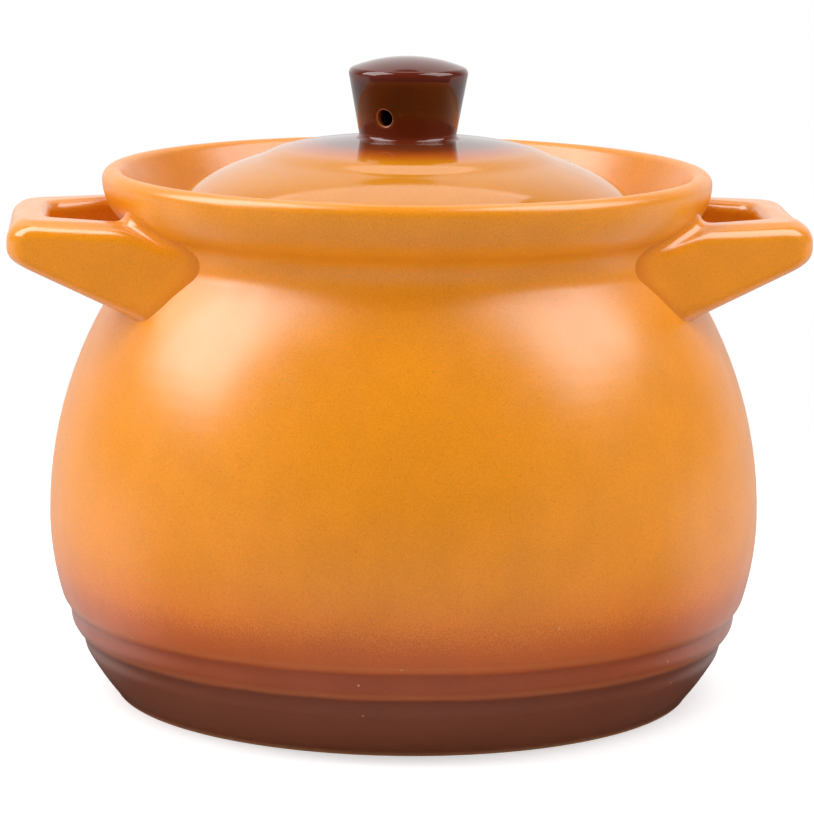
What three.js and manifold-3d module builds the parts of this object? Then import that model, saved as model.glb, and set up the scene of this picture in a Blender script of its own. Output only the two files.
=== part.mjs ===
// A ceramic cooking pot: a round-bellied pot with two ear handles, and a domed lid with a vented knob.
// Millimetres, +Z up. The origin is the centre of the plane that the foot stands on.
// The handles lie along X, and the front is -Y.
import * as THREE from "three";
import { mergeVertices } from "three/addons/utils/BufferGeometryUtils.js";
import Module from "manifold-3d";

const wasm = await Module();
wasm.setup();

// Pot, outside: the foot, belly, neck and rim, which smooth arcs join.
const FOOT_RADIUS = 88.6;
const FOOT_EDGE = 1.5; // height of the bevel at the foot
const FOOT_BEVEL = 1; // how far the bevel draws the foot in
const FOOT_RING = 12; // width of the ring that the pot stands on
const FOOT_RECESS = 2; // depth of the hollow inside that ring
const BELLY_RADIUS = 108;
const BELLY_HEIGHT = 55.25;
const NECK_DRAW = 25.5; // how far the neck is drawn in from the belly
const NECK_HEIGHT = 135.75;
const NECK_ARC = 12; // radius of the hollow curve at the neck
const RIM_FLARE = 9.5; // how far the rim stands out from the neck
const RIM_RISE = 20.75; // how far the rim's widest point stands above the neck's narrowest
const LIP_RADIUS = 3.25;
const GROOVE_HEIGHTS = [17.5, 26.3]; // two shallow turned grooves above the foot
const GROOVE_WIDTH = 8.6;
const GROOVE_DEPTH = 0.85;

// Pot, inside.
const WALL = 7;
const FLOOR = 8;
const FLOOR_FILLET = 15;
const NECK_WALL = 8; // from the neck to the recess that the lid drops into
const SEAT_RISE = 1; // the lid's ledge above the narrowest point of the neck
const SEAT_WIDTH = 6;
const SEAT_EDGE = 3; // height of the ledge's straight inner edge

// Lid.
const LID_CLEARANCE = 2; // between the lid's edge and the recess
const LID_EDGE = 4.25; // height of the lid's straight edge
const LID_RISE = 32.25; // flat land for the knob above the ledge
const LID_WALL = 6;
const STEAM_HOLE = 16; // diameter

// Knob.
const KNOB_BASE_RADIUS = 14.75;
const KNOB_TOP_RADIUS = 18;
const KNOB_HEIGHT = 24.5;
const KNOB_CROWN = 1.75; // how far the middle of the top stands above its edge
const KNOB_EDGE = 4; // radius of the top edge
const KNOB_FOOT = 1.5; // radius of the flare at the base
const KNOB_WALL = 4.5;
const VENT = 5; // diameter
const VENT_HEIGHT = 7.25; // above the knob's base
const VENT_TURN = 31; // degrees from the front towards -X

// Handles.
const HANDLE_LENGTH = 37.5; // outer end of the bar beyond the narrowest point of the neck
const HANDLE_RISE = 11.5; // top face above that point
const HANDLE_BAR = 12.5; // thickness of the bar that the fingers go round
const HANDLE_BAR_DEPTH = 17; // height of the bar beside the finger hole
const HANDLE_UNDERSIDE = 23; // slope of the underside in degrees
const HANDLE_END_WIDTH = 62;
const HANDLE_ROOT_WIDTH = 97; // where the legs reach the neck
const HOLE_END_WIDTH = 33;
const HOLE_ROOT_WIDTH = 66;
const HANDLE_CORNER = 12; // corner radii seen from above
const HOLE_CORNER = 7;
const TOP_EDGE = 5.8; // edge radii in section
const UNDER_EDGE = 4.7;
const HOLE_EDGE = 2.5;
const ROOT_FLARE = 2; // radius of the soft joint where the clay was worked onto the pot
const ROOT_DEPTH = 12; // how far a leg is drawn into the neck before it is cut to the pot's surface
const ROOT_GAP = 0.3;

// Facets round each axis, and steps along each curve.
const POT_SEGMENTS = 56;
const KNOB_SEGMENTS = 40;
const VENT_SEGMENTS = 20;
const FOOT_STEPS = 3; // from the bevel to the lower groove
const GROOVE_STEPS = 4;
const BELLY_STEPS = 4; // from the upper groove to the belly
const SHOULDER_STEPS = 8;
const NECK_STEPS = 6;
const RIM_STEPS = 4;
const LIP_STEPS = 7;
const INSIDE_STEPS = 6;
const FILLET_STEPS = 4;
const DOME_STEPS = 10;
const CROWN_STEPS = 3;
const LEG_STEPS = 16;
const EAR_CORNER_STEPS = 4;
const EDGE_STEPS = 3;
const WELD = 1e-4; // points of a skin closer than this are one

const NECK_RADIUS = BELLY_RADIUS - NECK_DRAW;
const RIM_RADIUS = NECK_RADIUS + RIM_FLARE;
const RIM_HEIGHT = NECK_HEIGHT + RIM_RISE;

const point = (x, y) => new THREE.Vector2(x, y);
const radians = THREE.MathUtils.degToRad;

// Points along a circular arc, from one angle to another.
function arc(centre, radius, from, to, steps) {
  return Array.from({ length: steps + 1 }, (_, i) => {
    const angle = from + ((to - from) * i) / steps;
    return point(centre.x + radius * Math.cos(angle), centre.y + radius * Math.sin(angle));
  });
}

// The arc that rounds the corner between two straight lines.
function roundedCorner(before, corner, after, radius, steps) {
  const toBefore = before.clone().sub(corner).normalize();
  const toAfter = after.clone().sub(corner).normalize();
  const half = Math.acos(toBefore.dot(toAfter)) / 2;
  const bisector = toBefore.clone().add(toAfter).normalize();
  const centre = corner.clone().addScaledVector(bisector, radius / Math.sin(half));
  const start = corner.clone().addScaledVector(toBefore, radius / Math.tan(half));
  const turn = Math.sign(toAfter.cross(toBefore)) * (Math.PI - 2 * half);
  const from = start.sub(centre).angle();
  return arc(centre, radius, from, from + turn, steps);
}

// The circle through (radius, height), upright there, that touches the hollow circle of the neck from inside.
function bulgeTo(radius, height, hollow) {
  const inset = hollow.centre.x - radius;
  const rise = hollow.centre.y - height;
  const bulge = (inset ** 2 + rise ** 2 - hollow.radius ** 2) / (2 * (hollow.radius - inset));
  return { centre: point(radius - bulge, height), radius: bulge };
}

// The arcs of the pot's outside, each a circle in the plane of radius and height.
function potArcs() {
  const neck = { centre: point(NECK_RADIUS + NECK_ARC, NECK_HEIGHT), radius: NECK_ARC };
  const shoulder = bulgeTo(BELLY_RADIUS, BELLY_HEIGHT, neck);
  const rim = bulgeTo(RIM_RADIUS, RIM_HEIGHT, neck);
  const swell = BELLY_RADIUS - FOOT_RADIUS;
  const drop = BELLY_HEIGHT - FOOT_EDGE;
  const lowerRadius = (swell ** 2 + drop ** 2) / (2 * swell);
  const lower = { centre: point(BELLY_RADIUS - lowerRadius, BELLY_HEIGHT), radius: lowerRadius };
  return { lower, shoulder, neck, rim };
}

const ARCS = potArcs();
const angleBetween = (from, to) => to.clone().sub(from).angle();
const SHOULDER_END = angleBetween(ARCS.shoulder.centre, ARCS.neck.centre);
const RIM_START = angleBetween(ARCS.rim.centre, ARCS.neck.centre) - 2 * Math.PI;
const NECK_START = SHOULDER_END + Math.PI;
const NECK_END = RIM_START + Math.PI;

// How far the grooves draw the lower wall in at a height.
function grooveAt(height) {
  const depths = GROOVE_HEIGHTS.map((middle) => {
    const across = (height - middle) / (GROOVE_WIDTH / 2);
    return GROOVE_DEPTH * Math.max(0, 1 - across ** 2);
  });
  return Math.max(...depths);
}

// The lower wall from the foot's bevel to the belly, with steps close enough to draw each groove.
function lowerWall() {
  const [lowGroove, highGroove] = GROOVE_HEIGHTS;
  const bottom = lowGroove - GROOVE_WIDTH / 2;
  const crest = (lowGroove + highGroove) / 2;
  const top = highGroove + GROOVE_WIDTH / 2;
  const stretches = [
    [FOOT_EDGE, bottom, FOOT_STEPS],
    [bottom, crest, GROOVE_STEPS],
    [crest, top, GROOVE_STEPS],
    [top, BELLY_HEIGHT, BELLY_STEPS],
  ];
  const { centre, radius } = ARCS.lower;
  return stretches.flatMap(([low, high, steps]) =>
    Array.from({ length: steps }, (_, i) => {
      const height = low + ((high - low) * i) / steps;
      const reach = Math.sqrt(radius ** 2 - (height - centre.y) ** 2);
      return point(centre.x + reach - grooveAt(height), height);
    }),
  );
}

// The upper wall from the belly over the shoulder and neck to the lip, standing off by a clearance.
function upperWall(clearance) {
  const { shoulder, neck, rim } = ARCS;
  return [
    ...arc(shoulder.centre, shoulder.radius + clearance, 0, SHOULDER_END, SHOULDER_STEPS),
    ...arc(neck.centre, neck.radius - clearance, NECK_START, NECK_END, NECK_STEPS).slice(1),
    ...arc(rim.centre, rim.radius + clearance, RIM_START, 0, RIM_STEPS).slice(1),
  ];
}

const SEAT_HEIGHT = NECK_HEIGHT + SEAT_RISE;
const RECESS_RADIUS = NECK_RADIUS - NECK_WALL;
const THROAT_RADIUS = RECESS_RADIUS - SEAT_WIDTH;

// The lip, the flared recess, the lid's ledge and the slope under it, down to the inside of the shoulder.
function rimInside() {
  const lip = point(RIM_RADIUS - LIP_RADIUS, RIM_HEIGHT);
  const flare = Math.atan2(lip.x - LIP_RADIUS - RECESS_RADIUS, RIM_HEIGHT - SEAT_HEIGHT);
  return [
    ...arc(lip, LIP_RADIUS, 0, Math.PI + flare, LIP_STEPS).slice(1),
    point(RECESS_RADIUS, SEAT_HEIGHT),
    point(THROAT_RADIUS, SEAT_HEIGHT),
    point(THROAT_RADIUS, SEAT_HEIGHT - SEAT_EDGE),
  ];
}

// The angle on the inside of the shoulder where the 45 degree slope under the ledge runs into it.
function ledgeMeetsShoulder(radius) {
  const { centre } = ARCS.shoulder;
  const across = THROAT_RADIUS - centre.x;
  const up = SEAT_HEIGHT - SEAT_EDGE - centre.y;
  const middle = (across - up) / 2;
  const along = Math.sqrt(middle ** 2 - (across ** 2 + up ** 2 - radius ** 2) / 2) - middle;
  return Math.atan2(up - along, across + along);
}

// The inside wall from under the ledge down to the middle of the floor.
function potInside() {
  const { shoulder, lower } = ARCS;
  const shoulderRadius = shoulder.radius - WALL;
  const lowerRadius = lower.radius - WALL;
  const floorHeight = FOOT_RECESS + FLOOR;
  const rise = floorHeight + FLOOR_FILLET - lower.centre.y;
  const reach = Math.sqrt((lowerRadius - FLOOR_FILLET) ** 2 - rise ** 2);
  const fillet = point(lower.centre.x + reach, floorHeight + FLOOR_FILLET);
  const floorEnd = Math.atan2(rise, reach);
  return [
    ...arc(shoulder.centre, shoulderRadius, ledgeMeetsShoulder(shoulderRadius), 0, INSIDE_STEPS),
    ...arc(lower.centre, lowerRadius, 0, floorEnd, INSIDE_STEPS).slice(1),
    ...arc(fillet, FLOOR_FILLET, floorEnd, -Math.PI / 2, FILLET_STEPS).slice(1),
    point(0, floorHeight),
  ];
}

function potProfile() {
  const ringInside = FOOT_RADIUS - FOOT_RING;
  return [
    point(0, FOOT_RECESS),
    point(ringInside - FOOT_RECESS, FOOT_RECESS),
    point(ringInside, 0),
    point(FOOT_RADIUS - FOOT_BEVEL, 0),
    ...lowerWall(),
    ...upperWall(0),
    ...rimInside(),
    ...potInside(),
  ];
}

const LID_RADIUS = RECESS_RADIUS - LID_CLEARANCE;
const LID_LAND = KNOB_BASE_RADIUS + KNOB_FOOT; // radius of the flat under the knob

// A quarter of an ellipse about the axis, from the angle where it stands at a given radius down to its edge.
function domeArc(radius, height, base, inner) {
  const from = Math.acos(inner / radius);
  return Array.from({ length: DOME_STEPS + 1 }, (_, i) => {
    const angle = from * (1 - i / DOME_STEPS);
    return point(radius * Math.cos(angle), base + height * Math.sin(angle));
  });
}

// The height of an ellipse whose curve passes through a point above its base.
const domeHeight = (radius, at, rise) => rise / Math.sqrt(1 - (at / radius) ** 2);

// The lid above its ledge: an even dome, hollow below, with a flat land and a steam hole for the knob.
function lidProfile() {
  const hole = STEAM_HOLE / 2;
  const outer = domeHeight(LID_RADIUS, LID_LAND, LID_RISE - LID_EDGE);
  const innerRadius = LID_RADIUS - LID_WALL;
  const inner = domeHeight(innerRadius, hole, LID_RISE - LID_WALL);
  return [
    point(hole, LID_RISE),
    ...domeArc(innerRadius, inner, 0, hole),
    point(LID_RADIUS, 0),
    ...domeArc(LID_RADIUS, outer, LID_EDGE, LID_LAND).reverse(),
    point(hole, LID_RISE),
  ];
}

// The knob above the lid's land: a cone that widens upwards, hollow and open below, with a crowned top.
function knobProfile() {
  const cavity = KNOB_BASE_RADIUS - KNOB_WALL;
  const roof = KNOB_HEIGHT - KNOB_CROWN - KNOB_WALL;
  const corner = point(cavity, roof);
  const cavityTop = roundedCorner(point(cavity, 0), corner, point(0, roof), KNOB_EDGE, EDGE_STEPS);
  const foot = point(KNOB_BASE_RADIUS + KNOB_FOOT, KNOB_FOOT);
  const edge = point(KNOB_TOP_RADIUS - KNOB_EDGE, KNOB_HEIGHT - KNOB_CROWN - KNOB_EDGE);
  const crownRadius = (edge.x ** 2 + KNOB_CROWN ** 2) / (2 * KNOB_CROWN);
  const crownCentre = point(0, KNOB_HEIGHT - crownRadius);
  const crownStart = Math.acos(edge.x / crownRadius);
  return [
    point(0, roof),
    ...cavityTop.reverse(),
    point(cavity, 0),
    ...arc(foot, KNOB_FOOT, 1.5 * Math.PI, Math.PI, EDGE_STEPS),
    ...arc(edge, KNOB_EDGE, 0, Math.PI / 2, EDGE_STEPS),
    ...arc(crownCentre, crownRadius, crownStart, Math.PI / 2, CROWN_STEPS).slice(1, -1),
    point(0, KNOB_HEIGHT),
  ];
}

// A solid of revolution about Z.
function revolve(profile, segments) {
  return new THREE.LatheGeometry(profile, segments).rotateX(Math.PI / 2);
}

function solidFrom(geometry) {
  const bare = geometry.clone().deleteAttribute("normal").deleteAttribute("uv");
  const merged = mergeVertices(bare, WELD);
  const vertProperties = new Float32Array(merged.attributes.position.array);
  const triVerts = new Uint32Array(merged.index.array);
  return new wasm.Manifold(new wasm.Mesh({ numProp: 3, vertProperties, triVerts }));
}

function geometryFrom(solid) {
  const { vertProperties, triVerts } = solid.getMesh();
  const geometry = new THREE.BufferGeometry();
  geometry.setAttribute("position", new THREE.BufferAttribute(vertProperties, 3));
  geometry.setIndex(new THREE.BufferAttribute(triVerts, 1));
  geometry.computeVertexNormals();
  return geometry;
}

// The knob with its round vent, drilled level through the wall into the hollow.
function ventedKnob() {
  const drill = new THREE.CylinderGeometry(VENT / 2, VENT / 2, KNOB_TOP_RADIUS, VENT_SEGMENTS);
  drill.translate(0, -KNOB_TOP_RADIUS / 2, 0);
  drill.rotateZ(radians(-VENT_TURN));
  drill.translate(0, 0, VENT_HEIGHT);
  const knob = solidFrom(revolve(knobProfile(), KNOB_SEGMENTS));
  return geometryFrom(knob.subtract(solidFrom(drill)));
}

const HANDLE_TOP = NECK_HEIGHT + HANDLE_RISE;
const HANDLE_REACH = NECK_RADIUS + HANDLE_LENGTH;
const HOLE_END = HANDLE_REACH - HANDLE_BAR;
const UNDERSIDE_SLOPE = Math.tan(radians(HANDLE_UNDERSIDE));
const BAR_END_DEPTH = HANDLE_BAR_DEPTH - HANDLE_BAR * UNDERSIDE_SLOPE;
const EDGE_ROOM = Math.min(1, BAR_END_DEPTH / (TOP_EDGE + UNDER_EDGE)); // both outer edges fit the bar's end

// Half of an outline seen from above: along a leg, round the corner and to the middle of the bar.
function halfOutline(end, endWidth, rootWidth, corner) {
  const neck = point(Math.sqrt(NECK_RADIUS ** 2 - (rootWidth / 2) ** 2), rootWidth / 2);
  const tip = point(end, endWidth / 2);
  const root = neck.clone().add(neck.clone().sub(tip).setLength(ROOT_DEPTH));
  const bend = roundedCorner(root, tip, point(end, 0), corner, EAR_CORNER_STEPS);
  const leg = Array.from({ length: LEG_STEPS }, (_, i) => root.clone().lerp(bend[0], i / LEG_STEPS));
  return [...leg, ...bend];
}

// The whole outline, from the root of one leg to the root of the other.
function outline(...sizes) {
  const half = halfOutline(...sizes);
  const mirrored = half.map((p) => point(p.x, -p.y)).reverse();
  return [...half, ...mirrored];
}

// The radius of the pot's outside at a height on the shoulder, neck or rim.
function potRadiusAt(height) {
  const { shoulder, neck, rim } = ARCS;
  const neckStart = shoulder.centre.y + shoulder.radius * Math.sin(SHOULDER_END);
  const neckEnd = rim.centre.y + rim.radius * Math.sin(RIM_START);
  const reach = (circle) => Math.sqrt(Math.max(0, circle.radius ** 2 - (height - circle.centre.y) ** 2));
  if (height < neckStart) return shoulder.centre.x + reach(shoulder);
  if (height < neckEnd) return neck.centre.x - reach(neck);
  return rim.centre.x + reach(rim);
}

// How far the soft joint swells a leg's surface at a gap from the pot.
function flareAt(gap) {
  const inside = THREE.MathUtils.clamp(ROOT_FLARE - gap, 0, ROOT_FLARE);
  return ROOT_FLARE - Math.sqrt(ROOT_FLARE ** 2 - inside ** 2);
}

// A section of the handle, upright between a point of the hole's outline and one of the outer outline.
function handleSection(holePoint, outerPoint) {
  const span = outerPoint.clone().sub(holePoint);
  const width = span.length();
  const under = (p) => HANDLE_TOP - HANDLE_BAR_DEPTH + (p.x - HOLE_END) * UNDERSIDE_SLOPE;
  const corners = [
    [point(0, HANDLE_TOP), HOLE_EDGE],
    [point(0, under(holePoint)), HOLE_EDGE],
    [point(width, under(outerPoint)), UNDER_EDGE * EDGE_ROOM],
    [point(width, HANDLE_TOP), TOP_EDGE * EDGE_ROOM],
  ];
  const middle = point(width / 2, (HANDLE_TOP + (under(holePoint) + under(outerPoint)) / 2) / 2);
  const section = corners.flatMap(([corner, radius], i) => {
    const before = corners[(i + 3) % 4][0];
    const after = corners[(i + 1) % 4][0];
    return roundedCorner(before, corner, after, radius, EDGE_STEPS);
  });
  return section.map((p) => {
    const across = holePoint.clone().addScaledVector(span, p.x / width);
    const swell = flareAt(across.length() - potRadiusAt(p.y));
    const away = p.clone().sub(middle).setLength(swell);
    const swollen = across.addScaledVector(span, away.x / width);
    return new THREE.Vector3(swollen.x, swollen.y, p.y + away.y);
  });
}

// A closed skin over a row of sections that have the same number of points.
function loft(sections) {
  const count = sections[0].length;
  const corners = sections.flat();
  const triangles = [];
  for (let i = 0; i + 1 < sections.length; i++) {
    for (let j = 0; j < count; j++) {
      const a = i * count + j;
      const b = i * count + ((j + 1) % count);
      triangles.push(a, b, b + count, a, b + count, a + count);
    }
  }
  const last = corners.length - count;
  for (let j = 1; j + 1 < count; j++) {
    triangles.push(0, j + 1, j, last, last + j, last + j + 1);
  }
  return new THREE.BufferGeometry().setFromPoints(corners).setIndex(triangles);
}

// One ear handle, reaching towards +X, cut to the pot's surface.
function handle() {
  const outer = outline(HANDLE_REACH, HANDLE_END_WIDTH, HANDLE_ROOT_WIDTH, HANDLE_CORNER);
  const hole = outline(HOLE_END, HOLE_END_WIDTH, HOLE_ROOT_WIDTH, HOLE_CORNER);
  const ear = loft(outer.map((p, i) => handleSection(hole[i], p)));
  const top = RIM_HEIGHT + LIP_RADIUS;
  const potSpace = [point(0, BELLY_HEIGHT), ...upperWall(ROOT_GAP), point(RIM_RADIUS, top), point(0, top)];
  const pot = solidFrom(revolve(potSpace, POT_SEGMENTS));
  return geometryFrom(solidFrom(ear).subtract(pot));
}

const GLAZE = { color: 0xd9822b, roughness: 0.38, metalness: 0 };
const LID_GLAZE = { color: 0xe08e3c, roughness: 0.16, metalness: 0 };
const KNOB_GLAZE = { color: 0x572411, roughness: 0.12, metalness: 0 };

function piece(name, geometry, finish) {
  const mesh = new THREE.Mesh(geometry, new THREE.MeshStandardMaterial(finish));
  mesh.name = name;
  return mesh;
}

const pot = new THREE.Group();
const handleGeometry = handle();
const leftHandle = piece("left_handle", handleGeometry, GLAZE);
leftHandle.rotation.z = Math.PI;
pot.add(
  piece("pot_body", revolve(potProfile(), POT_SEGMENTS), GLAZE),
  piece("right_handle", handleGeometry, GLAZE),
  leftHandle,
);

const lid = new THREE.Group();
lid.position.z = SEAT_HEIGHT;
const knob = piece("lid_knob", ventedKnob(), KNOB_GLAZE);
knob.position.z = LID_RISE;
lid.add(piece("lid_dome", revolve(lidProfile(), POT_SEGMENTS), LID_GLAZE), knob);

const cookingPot = new THREE.Group();
cookingPot.add(pot, lid);

export default cookingPot;
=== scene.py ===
"""A glazed ceramic cooking pot with two ear handles, and a lift-off lid with a hollow, vented knob.

Metres, +Z up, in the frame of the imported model: the origin is the centre of the plane that the foot
stands on, the handles lie along X, and the front is -Y.
"""
import math
from collections import namedtuple

import bmesh
import bpy
from mathutils import Matrix, Vector


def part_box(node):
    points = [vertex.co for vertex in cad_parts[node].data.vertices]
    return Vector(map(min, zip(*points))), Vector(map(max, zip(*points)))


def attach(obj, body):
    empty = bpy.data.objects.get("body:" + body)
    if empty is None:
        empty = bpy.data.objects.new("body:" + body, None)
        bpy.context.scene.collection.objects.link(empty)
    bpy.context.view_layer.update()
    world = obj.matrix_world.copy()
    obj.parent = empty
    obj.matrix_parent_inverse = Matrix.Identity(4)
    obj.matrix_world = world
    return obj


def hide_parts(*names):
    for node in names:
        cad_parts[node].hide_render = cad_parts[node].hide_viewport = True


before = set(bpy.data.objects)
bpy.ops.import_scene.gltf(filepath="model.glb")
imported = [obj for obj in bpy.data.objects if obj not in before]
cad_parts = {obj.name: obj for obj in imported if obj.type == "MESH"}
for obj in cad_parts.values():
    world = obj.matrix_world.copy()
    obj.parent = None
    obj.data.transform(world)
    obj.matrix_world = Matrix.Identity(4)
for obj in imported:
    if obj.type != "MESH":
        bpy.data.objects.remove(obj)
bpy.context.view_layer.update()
_, POT_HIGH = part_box("pot_body")
_, EAR_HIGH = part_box("right_handle")
LID_LOW, LID_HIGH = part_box("lid_dome")
_, KNOB_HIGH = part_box("lid_knob")

# Pot, outside.
BELLY_RADIUS = POT_HIGH.x
RIM_TOP = POT_HIGH.z
SEAT_HEIGHT = LID_LOW.z  # the ledge that the lid lies on
FOOT_RADIUS = 0.0886
FOOT_EDGE = 0.0015
FOOT_BEVEL = 0.001
FOOT_RING = 0.012
FOOT_RECESS = 0.002
BELLY_HEIGHT = 0.05525
NECK_DRAW = 0.0255  # how far the neck is drawn in from the belly
NECK_ARC = 0.012  # the arc that shoulder and rim were drawn to
NECK_HOLLOW = 0.008  # the hollow between them is turned tighter
RIM_FLARE = 0.0095
LIP_RADIUS = 0.00325
GROOVE_HEIGHTS = (0.0175, 0.0263)
GROOVE_WIDTH = 0.0086
GROOVE_DEPTH = 0.00085

# Pot, inside.
WALL = 0.007
FLOOR = 0.008
FLOOR_FILLET = 0.015
NECK_WALL = 0.008
SEAT_RISE = 0.001  # the ledge above the narrowest point of the neck
SEAT_WIDTH = 0.006
SEAT_EDGE = 0.003
LEDGE_ROUND = 0.0009  # radius of the small edges
NECK_RADIUS = BELLY_RADIUS - NECK_DRAW
NECK_HEIGHT = SEAT_HEIGHT - SEAT_RISE
RIM_RADIUS = NECK_RADIUS + RIM_FLARE
RIM_HEIGHT = RIM_TOP - LIP_RADIUS
RECESS_RADIUS = NECK_RADIUS - NECK_WALL
THROAT_RADIUS = RECESS_RADIUS - SEAT_WIDTH

# Lid.
LID_RADIUS = LID_HIGH.x
LID_TOP = LID_HIGH.z
LID_EDGE = 0.00425
LID_WALL = 0.006
STEAM_HOLE_RADIUS = 0.008
RING_LIFT = 0.00045  # the lid stands this far above a plain dome inside its ring, and below it outside
RING_LIFT_START = 0.020
RING_START = 0.0385
RING_END = 0.046

# Knob.
KNOB_TOP = KNOB_HIGH.z
KNOB_TOP_RADIUS = KNOB_HIGH.x
KNOB_BASE_RADIUS = 0.01475
KNOB_SHOULDER = 0.005  # from the widest point up to the top
KNOB_CROWN = 0.00313
KNOB_EDGE = 0.002
CROWN_POWER = 2.05  # flat in the middle, falling away towards the edge
KNOB_FOOT = 0.0015
KNOB_WALL = 0.0045
KNOB_ROOF = 0.00625
VENT_RADIUS = 0.0025
VENT_HEIGHT = 0.00725
VENT_TURN = math.radians(31)  # from the front towards -X
VENT_LIP = 0.0006
LID_LAND = KNOB_BASE_RADIUS + KNOB_FOOT

# Handles.
HANDLE_REACH = EAR_HIGH.x
HANDLE_RISE = 0.0115  # above the narrowest point of the neck
HANDLE_TOP = NECK_HEIGHT + HANDLE_RISE
HANDLE_BAR = 0.0125
HANDLE_BAR_DEPTH = 0.017
UNDERSIDE_SLOPE = math.tan(math.radians(23))
HANDLE_END_WIDTH = 0.062
HANDLE_ROOT_WIDTH = 0.097
HOLE_END = HANDLE_REACH - HANDLE_BAR
HOLE_END_WIDTH = 0.033
HOLE_ROOT_WIDTH = 0.066
HANDLE_CORNER = 0.009
HOLE_CORNER = 0.007
TOP_EDGE = 0.0043
TOP_FALL = 0.002  # the top of a handle falls away towards its outer side
TOP_RUN = 0.006
TOP_BREAK = 0.006  # radius of the soft bend where it starts to fall
ROOT_BLEND = 0.016  # a leg draws in this far from the neck
ROOT_FALL = 0.006  # how much further its top falls there
ROOT_RUN = 0.002
ROOT_UNDER_EDGE = 0.005  # how much rounder its underside gets
END_BLEND = 0.007  # the end of a handle is worn rounder over this length
END_FALL = 0.0012
END_EDGE = 0.0016
UNDER_EDGE = 0.0047
HOLE_EDGE = 0.004
ROOT_FILLET = 0.008  # the worked clay joint with the pot
ROOT_SWELL = 0.0063  # how far a handle would swell where the fillet runs level with the pot
ROOT_UNDER = 0.85  # the share by which the joint swells less under the handle
ROOT_FRONT = 0.65  # and on its outer side
ROOT_CREASE = 0.0017  # the fillet would run level with the pot's surface this far under it
ROOT_POOL_SHADE = 0.003  # how far out of the crease the glaze runs thick and the painted shade of the crease reaches
ROOT_DEPTH = 0.012
ROOT_SINK = 0.0015  # how far a handle's skin runs on under the pot's glaze

# Fineness of the meshes.
POT_SEGMENTS = 192
KNOB_SEGMENTS = 128
PROFILE_STEP = 0.002  # longest straight stretch of a profile
ARC_STEP = math.radians(2.5)
DOME_STEP = ARC_STEP / 2
EDGE_STEPS = 12
WALL_STEP = 0.0007
LEG_STEPS = 44
EAR_CORNER_STEPS = 16
BAR_STEPS = 5
SIDE_POINTS = (0.1, 0.3, 0.5, 0.7, 0.9)  # along each flat side of a handle's section
VENT_WINDOW = 8  # facets to each side of the vent that make room for it
VENT_RINGS = 4
CROWN_STEPS = 24
BISECTIONS = 40
ON_AXIS = 1e-7


def polar(radius, angle):
    return radius * Vector((math.cos(angle), math.sin(angle)))


def angle_of(vector):
    return math.atan2(vector.y, vector.x)


def arc(centre, radius, start, end):
    """Points along a circular arc, both ends included."""
    steps = max(EDGE_STEPS, math.ceil(abs(end - start) / ARC_STEP))
    return [centre + polar(radius, start + (end - start) * i / steps) for i in range(steps + 1)]


def rounded_corner(before, corner, after, radius, steps=EDGE_STEPS):
    """The arc that rounds the corner between two straight lines."""
    to_before = (before - corner).normalized()
    to_after = (after - corner).normalized()
    half = math.acos(max(-1, min(1, to_before.dot(to_after)))) / 2
    centre = corner + (to_before + to_after).normalized() * radius / math.sin(half)
    start = angle_of(corner + to_before * radius / math.tan(half) - centre)
    side = to_after.x * to_before.y - to_after.y * to_before.x
    turn = math.copysign(math.pi - 2 * half, side)
    return [centre + polar(radius, start + turn * i / steps) for i in range(steps + 1)]


def rounded_path(points, radius):
    """A path through points, with every corner between its ends rounded."""
    path = [points[0]]
    for before, corner, after in zip(points, points[1:], points[2:]):
        path += rounded_corner(before, corner, after, radius)
    return path + [points[-1]]


def refined(profile):
    """A profile with its long straight stretches cut into steps."""
    fine = [profile[0]]
    for start, end in zip(profile, profile[1:]):
        steps = max(1, math.ceil((end - start).length / PROFILE_STEP))
        fine += [start.lerp(end, i / steps) for i in range(1, steps + 1)]
    return fine


class Circle(namedtuple("Circle", "centre radius")):
    """A circle in the plane of radius and height, which part of the pot's outside follows."""

    def reach(self, height):
        return math.sqrt(max(0, self.radius ** 2 - (height - self.centre.y) ** 2))


def bulge_to(radius, height, hollow):
    """The circle that is upright at (radius, height) and touches the neck's hollow from inside."""
    inset = hollow.centre.x - radius
    rise = hollow.centre.y - height
    bulge = (inset ** 2 + rise ** 2 - hollow.radius ** 2) / (2 * (hollow.radius - inset))
    return Circle(Vector((radius - bulge, height)), bulge)


def hollow_between(lower, upper, radius):
    """The circle of a given radius that touches two bulges from outside."""
    apart = upper.centre - lower.centre
    to_lower = lower.radius + radius
    to_upper = upper.radius + radius
    along = (apart.length_squared + to_lower ** 2 - to_upper ** 2) / (2 * apart.length)
    aside = math.sqrt(to_lower ** 2 - along ** 2)
    axis = apart.normalized()
    return Circle(lower.centre + axis * along + Vector((axis.y, -axis.x)) * aside, radius)


NECK_GUIDE = Circle(Vector((NECK_RADIUS + NECK_ARC, NECK_HEIGHT)), NECK_ARC)
SHOULDER = bulge_to(BELLY_RADIUS, BELLY_HEIGHT, NECK_GUIDE)
RIM = bulge_to(RIM_RADIUS, RIM_HEIGHT, NECK_GUIDE)
NECK = hollow_between(SHOULDER, RIM, NECK_HOLLOW)
BELLY_SWELL = BELLY_RADIUS - FOOT_RADIUS
BELLY_RISE = BELLY_HEIGHT - FOOT_EDGE
LOWER_RADIUS = (BELLY_SWELL ** 2 + BELLY_RISE ** 2) / (2 * BELLY_SWELL)
LOWER = Circle(Vector((BELLY_RADIUS - LOWER_RADIUS, BELLY_HEIGHT)), LOWER_RADIUS)
SHOULDER_END = angle_of(NECK.centre - SHOULDER.centre)
RIM_START = angle_of(NECK.centre - RIM.centre)


def groove_at(height):
    """How far the turned grooves draw the lower wall in at a height."""
    across = [min(1, abs(height - middle) / (GROOVE_WIDTH / 2)) for middle in GROOVE_HEIGHTS]
    return GROOVE_DEPTH * sum((1 + math.cos(math.pi * x)) / 2 for x in across)


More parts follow.
